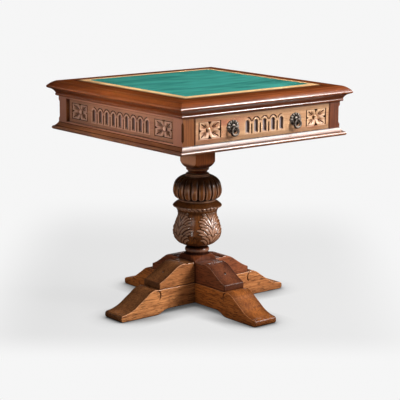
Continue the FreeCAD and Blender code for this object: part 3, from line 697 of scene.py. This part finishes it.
def finger(side, level, root, bend, tip):
    """Distance to one leaf finger's curved spine, and the same as a share of its half width there."""
    t = np.linspace(0, 1, 28)[:, None]
    spine = (1 - t) ** 2 * np.array(root) + 2 * t * (1 - t) * np.array(bend) + t ** 2 * np.array(tip)
    half = finger_half * np.sin(math.pi * (0.1 + 0.8 * t[:, 0])) ** 0.7
    away = np.hypot(side[..., None] - spine[:, 0], level[..., None] - spine[:, 1])
    return away.min(-1), (away / half).min(-1)


def acanthus(side, level):
    """Half of one leaf drawn flat, stem at side 0: tiers of fingers rise from the stem and bend outwards,
    each lower tier over the one above. A ridge follows each finger and a valley lies where two are
    equally near; a dark cut runs round each tier."""
    height, wax_and_shade, wear_and_highlight = np.zeros((3, *side.shape))
    for tips in leaf_tiers:
        runs = [finger(side, level, (1.2, high - 1.05 * out - 2), (0.52 * out, high + 0.06 * out),
                       (out, high)) for out, high in tips]
        first, second = np.sort(np.stack([away for away, _ in runs]), axis=0)[:2]
        cover = np.stack([share for _, share in runs]).min(0)
        ridge = 1 - (first / np.maximum(second, 0.01)) ** 2
        inside = smooth((1.05 - cover) / 0.2)
        outline = dome((cover - 1.2) / 0.42)
        height = (height - 0.9 * outline) * (1 - inside) + leaf_rise * (0.1 + 0.9 * ridge ** 0.8) * inside
        # Darker round each tier's cut and in the valleys, waxing and painted shade; lighter on the ridges, a
        # painted highlight.
        wax_and_shade = np.maximum(wax_and_shade, outline) * (1 - inside) + smooth((0.5 - ridge) / 0.4) * inside
        wear_and_highlight = wear_and_highlight * (1 - inside) + smooth((ridge - 0.6) / 0.4) * inside
    stem = np.abs(side) / np.interp(level, stem_levels, stem_halves)
    height = np.maximum(height, (leaf_rise + 0.3) * dome(stem) - 0.9 * vee(stem / 0.3))
    wax_and_shade = wax_and_shade * (stem > 1)
    far = math.radians(45) * leaf_reference - side
    bud = np.hypot(far / bud_half[0], (level - bud_level) / bud_half[1])
    height = np.maximum(height, 0.7 * leaf_rise * dome(bud) - 1.2 * vee(far / 1.4) * (bud < 1))
    return height, np.maximum(wax_and_shade, 0.7 * dome((bud - 1) / 0.3)), wear_and_highlight


def acanthus_cup():
    """Cup turned from an outline of arcs, with a leaf on each side and slanted nicks round its rim."""
    low, high = limits("column_cup")
    radius, tall = high[0] / 1.006, high[2] - low[2]
    at = scaled(radius, low[2], tall)
    outline = evenly(arcs(
        *at((0.30, 0), (0.342, 0)), at((0.83, 0.11), (1.0, 0.29)), at((0.932, 0.469), (0.825, 0.626)),
        at((0.8, 0.7), (0.83, 0.791)), at((0.885, 0.838), (0.995, 0.875)), at((1.006, 0.892), (0.995, 0.906)),
        at((0.915, 0.946), (0.75, 1.0)), *at((0.6, 1.0))), 200)
    turn = full_turn(turning_steps, 360)
    eighth = turning_steps // 8
    side, level = np.meshgrid(np.radians(turn[:eighth + 1]) * leaf_reference, outline[:, 1])
    pick = np.abs((np.arange(turning_steps) + eighth) % (2 * eighth) - eighth)
    relief, wax_and_shade, wear_and_highlight = (drawn[:, pick] for drawn in acanthus(side, level))
    up = outline[:, 1:] - low[2]
    leafy = smooth((up - 7) / 6) * smooth((0.79 * tall - up) / 4) * (outline[:, :1] > 0.5 * radius)
    rim = dome((up - rim_level * tall) / (rim_half * tall)) ** 0.5
    slanted = (leaf_reference * np.radians(turn) + rim_slant * up) % rim_pitch / rim_pitch
    nick = vee((slanted - 0.5) / 0.28) * rim
    # Darker at the foot and under the rim, a painted shade, and over the collar's top; the rim lighter between its
    # nicks, a painted highlight.
    under = 0.6 * np.maximum(smooth((22 - up) / 16), dome((up - 0.77 * tall) / (0.05 * tall)))
    collar = 0.64 * smooth((up - 0.885 * tall) / 4)
    marks = {"wax_and_shade": np.maximum(np.maximum(wax_and_shade * leafy, 0.9 * nick), np.maximum(under, collar)),
             "wear_and_highlight": np.maximum(0.8 * wear_and_highlight * leafy, rim * (1 - nick))}
    piece("acanthus_cup", [revolved(outline, relief * leafy - nick_depth * nick)], "table",
          column_oak, ["column_cup"], marks)


def gadrooned_cover():
    """Bulb with convex lobes: each lobe falls away to narrow grooves, and they fade under the rings."""
    low, high = limits("column_cover")
    radius, tall = high[0], high[2] - low[2]
    at = scaled(radius, low[2], tall)
    outline = evenly(arcs(
        *at((0.5, 0), (0.745, 0)), at((0.93, 0.158), (1.0, 0.33)), at((0.9025, 0.644), (0.55, 0.868)),
        *at((0.475, 0.868)), at((0.5, 0.898), (0.475, 0.928)), *at((0.46, 0.928)),
        at((0.482, 0.952), (0.46, 0.976)), *at((0.375, 1.0), (0.3, 1.0))), 190)
    turn = full_turn(turning_steps, 360)
    pitch = 360 / gadroon_count
    away = np.abs((turn - gadroon_first) % pitch - pitch / 2) / (pitch / 2)
    out, share = outline[:, :1] / radius, (outline[:, 1:] - low[2]) / tall
    on_bulb = out > 0.56
    fade = smooth((0.86 - share) / 0.2) * on_bulb * smooth(share / 0.03)
    edge = np.clip(np.hypot(away, np.clip((0.17 - share) / 0.11, 0, 1.2)), 0, 1)
    relief = shoulder_rise * smooth((share - 0.45) / 0.3) * (share < lobe_top)
    relief = relief - gadroon_depth * (0.35 + 0.65 * out) * edge ** 4 * fade
    # The upper bulb darker, a painted shadow of the table top, and the neck darker between its ring crests, a
    # painted shade; grooves darker, waxing and painted shade; the lobes' edges, the ring crests and a line at the
    # foot lighter, painted highlights.
    shaded = 0.96 * smooth((share - 0.36) / 0.34) * on_bulb
    beads = np.maximum(dome((share - 0.898) / 0.022), dome((share - 0.952) / 0.018)) * (out < 0.52)
    neck_painted_shade = 0.9 * (share > 0.86) * (1 - beads)
    wax_and_shade = np.maximum(np.maximum(smooth((edge - 0.70) / 0.18) * fade, shaded), neck_painted_shade)
    foot_highlight_line = 0.6 * smooth((0.05 - share) / 0.02) * (out > 0.72)
    wear_and_highlight = dome((edge - 0.54) / 0.14) * fade * smooth((0.66 - share) / 0.25)
    wear_and_highlight = np.maximum(wear_and_highlight, np.maximum(foot_highlight_line, 0.6 * beads))
    piece("gadrooned_cover", [revolved(outline, relief)], "table", column_oak,
          ["column_cover"], {"wax_and_shade": wax_and_shade, "wear_and_highlight": wear_and_highlight})


acanthus_cup()
gadrooned_cover()


# Feet and brackets

def section_loop(uprights, levels):
    """Rounded rectangle as shares: which side it follows, and the direction of its rounded corner."""
    rise, run, corner = np.linspace(0, 1, uprights), np.asarray(levels, float), np.linspace(0, 90, 7)[1:-1]
    sides = [(np.ones_like(rise), rise, 0), (run[::-1], np.ones_like(run), 90),
             (-np.ones_like(rise), rise[::-1], 180), (run, np.zeros_like(run), 270)]
    across, up, bearing = [], [], []
    for a, u, start in sides:
        across += [a, np.full(len(corner), a[-1])]
        up += [u, np.full(len(corner), u[-1])]
        bearing += [np.full(len(a), float(start)), start + corner]
    return np.concatenate(across), np.concatenate(up), np.radians(np.concatenate(bearing))


def beam(runs, bottom, top, half, loop):
    """Rounded section carried along X between a bottom and a top line, its end edges rounded too."""
    across, up, bearing = loop
    reach = np.abs(runs).max()
    fall = np.clip(np.abs(runs) - reach + arris, 0, None)
    inset = arris - np.sqrt(np.clip(arris ** 2 - fall ** 2, 0, None))
    wide = (half - inset)[:, None]
    low, high = (bottom + inset)[:, None], (top - inset)[:, None]
    y = across * (wide - arris) + arris * np.cos(bearing)
    z = low + arris + up * (high - low - 2 * arris) + arris * np.sin(bearing)
    return np.stack([np.broadcast_to(runs[:, None], y.shape), y, z], -1)


def beam_marks(points, runs, loop, cut):
    """Darker in the cuts, waxing and painted shade, on the end grain and on the top towards its edges;
    lighter lines along the two upper corners, wear and painted highlight."""
    across, _, bearing = loop
    tip = smooth((np.abs(runs) - np.abs(runs).max() + 5) / 4)[:, None]
    top = ((0.48 + 0.3 * across ** 2) * (np.sin(bearing) > 0.9))[None, :]
    corner = 0.36 * np.abs(np.sin(2 * bearing)) * (np.sin(bearing) > 0.05)
    return {"wax_and_shade": np.maximum(cut, np.maximum(0.7 * tip, top)),
            "wear_and_highlight": np.broadcast_to(corner, points.shape[:2])}


def foot_bar(name, swapped, degrees, lap_over):
    """Bar with two scrolled toes, halved over the other bar, with a gouged scroll on each cheek."""
    high = limits(swapped)[1]
    reach, half = max(high[:2]), min(high[:2])
    seam = limits("left_foot_bracket")[0][2]
    crest = arcs((0, seam), (0.562 * reach, seam), ((0.578 * reach, seam + 1.5), (0.6 * reach, seam + 2)),
                 ((0.654 * reach, 0.95 * seam), (0.704 * reach, 0.807 * seam)),
                 (0.79 * reach, 0.57 * seam), ((0.865 * reach, 0.385 * seam), (0.95 * reach, 0.28 * seam)),
                 (reach - 9, 22), ((reach - 2.7, 19.3), (reach, 13)))
    sole = arcs((0, sole_arch), (0.44 * reach, sole_arch), ((0.48 * reach, 13.2), (0.52 * reach, 7.5)),
                ((0.56 * reach, 1.8), (0.6 * reach, 0)), (reach - 9, 0), ((reach - 2.7, 2.7), (reach, 9)))
    outer = spaced(half, (0.52 * reach, 6), (0.69 * reach, 0.8), (reach - 10, 3), (reach, 0.6))
    runs = np.concatenate([-outer[::-1], [-half, half], outer])
    top, bottom = np.interp(np.abs(runs), *crest.T), np.interp(np.abs(runs), *sole.T)
    lapped = bottom if lap_over else top
    lapped[len(outer):len(outer) + 2] = (seam + sole_arch) / 2
    loop = section_loop(64, np.linspace(-1, 1, 13))
    points = beam(runs, bottom, top, half, loop)
    away = np.stack([np.abs(points[..., 0]) - 0.6 * reach, points[..., 2] - seam - 2 + scroll_radius], -1)
    bearing = np.degrees(np.arctan2(away[..., 1], -away[..., 0]))
    spread = scroll_half * np.sqrt(dome((bearing - 38) / 84))
    cut = dome((np.linalg.norm(away, axis=-1) - scroll_radius) / np.maximum(spread, 0.01))
    cut = cut * (spread > 0) * (np.abs(np.cos(loop[2])) > 0.99)
    points[..., 1] -= scroll_depth * cut * np.sign(points[..., 1])
    oak = foot_oak["x" if degrees == 0 else "y"]
    piece(name, [turned_by(points, degrees)], "table", oak, [swapped],
          beam_marks(points, runs, loop, 0.95 * cut))


def screw(run, level):
    """Domed screw head under a level, with its shank, turned about an upright axis at a run along X."""
    tip = limits("bracket_screws")[0][2]
    outline = arcs((0.02, level - 1.8), ((2.6, level - 2.5), (4.3, level - 4.6)), (4.3, level - 6),
                   (2.4, level - 6), (2.4, tip + 2), (0.02, tip), per_arc=8)
    return revolved(outline, np.zeros((len(outline), 24))) + np.array([run, 0, 0])


def bracket(side, degrees):
    """Bracket with a shelf, a quirk, a crest and an ogee down to its end, and a peg hole in the slope.
    Gives the points of the screw in the hole."""
    swapped = f"{side}_foot_bracket"
    low, high = limits(swapped)
    seam, shelf = low[2], high[2] - 2.4
    start, reach = limits("column_base_block")[1][0], np.abs([low[:2], high[:2]]).max()
    at = scaled(reach, seam, shelf - seam)
    crest = arcs((start, shelf), (0.37 * reach, shelf), (0.385 * reach, shelf - 2),
                 ((0.425 * reach, shelf + 1.2), (0.468 * reach, high[2])), at((0.575, 0.96), (0.67, 0.816)),
                 *at((0.798, 0.581)), (*at((0.894, 0.4235)), (reach, seam + 20)))
    hole = 0.745 * reach
    runs = spaced(start, (0.35 * reach, 4), (0.44 * reach, 0.7), (hole - peg_room, 3),
                  (hole + peg_room, 0.6), (reach - 4, 3), (reach, 0.5))
    loop = section_loop(14, spaced(-1, (-0.2, 0.16), (0.2, 0.016), (1, 0.16)))
    points = beam(runs, np.full_like(runs, seam), np.interp(runs, *crest.T), min((high - low)[:2]) / 2, loop)
    in_hole = smooth((peg_radius - np.hypot(points[..., 0] - hole, points[..., 1])) / 0.8)
    in_hole = in_hole * (np.sin(loop[2]) > 0.99)
    points[..., 2] -= peg_depth * in_hole
    oak = (foot_oak if side == "left" else bracket_oak)["x" if degrees % 180 == 90 else "y"]
    piece(f"{side}_bracket_scroll", [turned_by(points, degrees - 90)], "table", oak, [swapped],
          beam_marks(points, runs, loop, in_hole))
    return turned_by(screw(hole, np.interp(hole, *crest.T)), degrees - 90)


foot_bar("left_right_feet", "left_right_foot_bar", 0, False)
foot_bar("front_back_feet", "front_back_foot_bar", 90, True)
screws = [bracket(side, 90 * k) for k, side in enumerate(("front", "right", "back", "left"))]
piece("domed_bracket_screws", screws, "table", metals["steel"], ["bracket_screws"])


# Pulls

def rosette(x, y, z, facing):
    """Eye post, boss and twelve leaf petals as one outline turned about the pull's axis: the petals
    lift and lengthen with the cosine of the turn, and a fine vein runs down each."""
    outline = evenly(arcs((0.02, 16.0), ((3.54, 14.54), (5, 11)), ((4.6, 9.0), (3.4, 7.6)), (3.4, 6.0),
                          ((6.0, 5.6), (8.6, 4.0)), (9.6, 1.6), ((15, 3.9), (20, 3.2)),
                          ((23, 2.2), (24, 0.6)), (24, 0), (0.02, 0)), 110)
    turn = full_turn(240)
    radius, lift = outline[:, :1], outline[:, 1:]
    leaf = smooth((radius - 9.4) / 4) * (lift > 0.05)
    ridge = np.abs(np.cos(rosette_petals / 2 * turn))
    relief = leaf * (1.9 * (ridge ** 0.7 - 0.75) - 0.7 * vee((ridge - 1) / 0.06))
    grid = revolved(outline, np.zeros((len(outline), len(turn))))
    stretch = 1 + 0.10 * (ridge - 0.6) * smooth((radius - 12) / 10)
    squash = 1 - 0.14 * smooth((radius - 9) / 6)
    out = grid[..., 2] + relief
    across, level = grid[..., 0] * stretch, grid[..., 1] * stretch * squash
    points = np.stack([x - across * facing, y + facing * out, z + level], -1)
    return points, np.clip(0.06 + 0.36 * leaf * ridge ** 3 + 0.3 * (lift > 4.5), 0, 1)


def drop_ring(x, y, z):
    """Round ring: the loop x = w sin t (1 - k cos t), z = -h (1 - cos t), with a wire that thickens below
    the eye and carries a row of soft beads."""
    t = full_turn(144)
    path = np.stack([ring_half * np.sin(t) * (1 - 0.12 * np.cos(t)), -ring_drop / 2 * (1 - np.cos(t))], -1)
    tangent = np.roll(path, -1, 0) - np.roll(path, 1, 0)
    tangent /= np.linalg.norm(tangent, axis=1, keepdims=True)
    low = (1 - np.cos(t)) / 2
    beads = 0.22 * np.cos(18 * t) * smooth(low / 0.2)
    wire = (ring_wire + 1.1 * smooth(low / 0.35) + beads)[:, None]
    turn = full_turn(24)
    out = wire * np.cos(turn)
    points = np.stack([x + path[:, :1] + out * tangent[:, 1:], y + wire * np.sin(turn),
                       z + path[:, 1:] - out * tangent[:, :1]], -1)
    return points, np.clip(0.32 + 0.40 * np.cos(turn) + 1.2 * beads[:, None], 0, 1)


pivots = {joint["child"]: np.array(joint["pos_m"]) / MM
          for joint in frame["joints"] if joint["type"] == "hinge"}
for side_name, facing in (("front", -1), ("back", 1)):
    shells, rubs = [], []
    for hand in ("left", "right"):
        ring_body = f"{side_name}_{hand}_ring"
        x, y, z = pivots[ring_body]
        points, wear_and_highlight = drop_ring(x, y, z)
        piece(f"{side_name}_{hand}_drop_ring", [points], ring_body, metals["aged_bronze"],
              [f"{side_name}_{hand}_pull_ring"], {"wear_and_highlight": wear_and_highlight}, capped=False)
        points, wear_and_highlight = rosette(x, facing * drawer_face, z, facing)
        shells.append(points)
        rubs.append(wear_and_highlight.ravel())
    piece(f"{side_name}_rosettes", shells, f"{side_name}_drawer", metals["aged_bronze"],
          [f"{side_name}_pull_plates"], {"wear_and_highlight": np.concatenate(rubs)})


# Cloth

def baize_cloth():
    """Glued cloth: a grid whose level wanders by a few slow waves and turns down at its edge."""
    low, high = limits("baize_mat")
    border = np.array([0.99, 0.995, 0.998, 1])
    lines = np.concatenate([-border[::-1], np.linspace(-0.98, 0.98, cloth_lines), border])
    x, y = np.meshgrid(lines * high[0], lines * high[1], indexing="ij")
    waves = np.sin(x / 31 + 1.3 * np.sin(y / 47)) * np.sin(y / 26 + np.sin(x / 53))
    edge = smooth((np.abs(lines) - 0.988) / 0.012)
    top = high[2] - 0.15 + cloth_lift * waves - 0.5 * np.maximum(edge[:, None], edge[None])
    points = np.stack([x, y, top], -1).reshape(-1, 3)
    index = np.arange(len(points)).reshape(x.shape)
    quads = np.stack([index[:-1, :-1], index[1:, :-1], index[1:, 1:], index[:-1, 1:]], -1).reshape(-1, 4)
    mesh = bpy.data.meshes.new("baize_cloth")
    mesh.from_pydata((points * MM).tolist(), [], quads.tolist())
    mesh.shade_smooth()
    mesh.materials.append(green_baize)
    made = linked("baize_cloth", mesh)
    shell = made.modifiers.new("thickness", "SOLIDIFY")
    shell.thickness = 0.8 * (high[2] - low[2]) * MM
    shell.offset = -1
    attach(made, "table")
    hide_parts("baize_mat")


baize_cloth()


# Camera, floor and light

camera_place = (-2905.7, -3538.7, 1297.0)
camera_angles = (-39.4985, 11.7492, 0.3837)  # azimuth, elevation and roll in degrees
camera_lens = 129.17
lamps = {  # place, height it faces, length and width, spread in degrees, and power
    "key_lamp": ((1900, -2350, 1750), 400, (500, 1400), 180, 110),
    "strip_box": ((2100, -1900, 2650), 400, (1700, 1400), 180, 100),
    "left_fill": ((-3000, -900, 2900), 400, (2400, 2400), 180, 25),
    "left_strip": ((-3900, -1900, 600), 480, (110, 1300), 180, 8),
    "left_grid": ((-3500, -700, 1350), 690, (500, 300), 10, 1.0),
    "left_sheen": ((-2500, 2700, 1500), 690, (1200, 1200), 180, 5),
    "crest_grid": ((2200, 2380, 1450), 150, (500, 700), 8, 0.05),
    "back_fill": ((700, 3600, 520), 560, (2400, 700), 120, 26)}
not_mirrored = ("back_fill",)  # lamps that don't show in reflections
floor_reach = 30.0  # metres, as all the floor's lengths are
floor_tones = (0.92, 0.78)  # far from the table and near it
floor_behind = (-1.75, -0.75)  # where the floor pales, behind, before and beside the table
floor_before = (0.62, 0.34)
floor_beside = (0.80, 0.46)
contact_reach = 0.08
contact_room = (0.2, 0.34)  # from the axis, where the contact shadow goes from weak to strong
contact_power = (0.8, 2.4)
floor_bounce = (0.3, 0.28, 0.26, 1)  # for light that isn't seen or mirrored
floor_mirrored = (0.015, 0.015, 0.015, 1)
room_light = (0.12, 0.008)  # on the table, and in its reflections


def set_camera():
    """Camera at the photograph's viewing angle."""
    azimuth, elevation, roll = (math.radians(a) for a in camera_angles)
    data = bpy.data.cameras.new("photo_camera")
    data.lens = camera_lens
    camera = linked("photo_camera", data)
    turn = Matrix.Rotation(azimuth, 4, "Z") @ Matrix.Rotation(math.pi / 2 - elevation, 4, "X")
    turn = turn @ Matrix.Rotation(roll, 4, "Z")
    camera.matrix_world = Matrix.Translation(np.array(camera_place) * MM) @ turn
    bpy.context.scene.camera = camera


def soft_lamp(name, place, height, size, spread, power):
    """Soft box that faces the table's axis at a height; a small spread is a grid in front of it."""
    data = bpy.data.lights.new(name, "AREA")
    data.shape = "RECTANGLE"
    data.size, data.size_y = size[0] * MM, size[1] * MM
    data.spread = math.radians(spread)
    data.energy = power
    lamp = linked(name, data)
    aim = Vector(np.array(place) - np.array((0, 0, height)))
    lamp.location = np.array(place) * MM
    lamp.rotation_euler = aim.to_track_quat("Z", "Y").to_euler()
    lamp.visible_glossy = name not in not_mirrored


def floor():
    """Large pale floor, grey round the table and near white far from it, with a soft contact shadow."""
    mesh = bpy.data.meshes.new("studio_floor")
    corners = [(floor_reach * x, floor_reach * y, 0) for x, y in ((-1, -1), (1, -1), (1, 1), (-1, 1))]
    mesh.from_pydata(corners, [], [(0, 1, 2, 3)])
    pale = Nodes(bpy.data.materials.new("pale_floor"))
    place = pale.place()
    azimuth = math.radians(camera_angles[0])

    def along(x, y):
        """Distance from the axis in a level direction."""
        made = pale.node("VectorMath", {"operation": "DOT_PRODUCT"})
        return pale.fill(made, {0: place, 1: (x, y, 0)}).outputs["Value"]

    before = along(math.sin(azimuth), -math.cos(azimuth))
    beside = pale.size(along(math.cos(azimuth), math.sin(azimuth)))
    grey = pale.times(pale.ramped(before, *floor_behind), pale.ramped(before, *floor_before))
    grey = pale.times(grey, pale.ramped(beside, *floor_beside))
    from_axis = pale.plus(pale.size(along(1, 0)), pale.size(along(0, 1)))
    power = pale.between(pale.ramped(from_axis, *contact_room), *contact_power)
    contact = pale.maths("POWER", pale.openness(contact_reach, 16), power)
    strength = pale.times(pale.between(grey, *floor_tones), contact)
    glow = pale.node("Emission", Color=(1, 1, 1, 1), Strength=strength)
    rays = pale.node("LightPath").outputs
    seen = rays["Is Camera Ray"]
    unseen = pale.mixed(rays["Is Glossy Ray"], floor_bounce, floor_mirrored)
    pale.give(Roughness=0.9, Specular_IOR_Level=0.0, Base_Color=pale.mixed(seen, unseen, (0.8, 0.8, 0.8, 1)))
    blend = pale.node("MixShader", Fac=pale.times(seen, pale.between(grey, 1.0, 0.9)))
    pale.fill(blend, {1: pale.shader.outputs[0], 2: glow.outputs[0]})
    pale.fill(pale.tree.nodes["Material Output"], {"Surface": blend.outputs[0]})
    mesh.materials.append(pale.owner)
    ground = linked("studio_floor", mesh)


def surroundings():
    """White behind the table, and a dim room for everything else."""
    room = Nodes(bpy.data.worlds.new("studio"), "Background")
    bpy.context.scene.world = room.owner
    rays = room.node("LightPath").outputs
    dim = room.between(rays["Is Glossy Ray"], *room_light)
    room.give(Color=(1, 1, 1, 1), Strength=room.between(rays["Is Camera Ray"], dim, floor_tones[0]))


set_camera()
floor()
surroundings()
for lamp_name, settings in lamps.items():
    soft_lamp(lamp_name, *settings)
bpy.context.scene.view_settings.view_transform = "Standard"
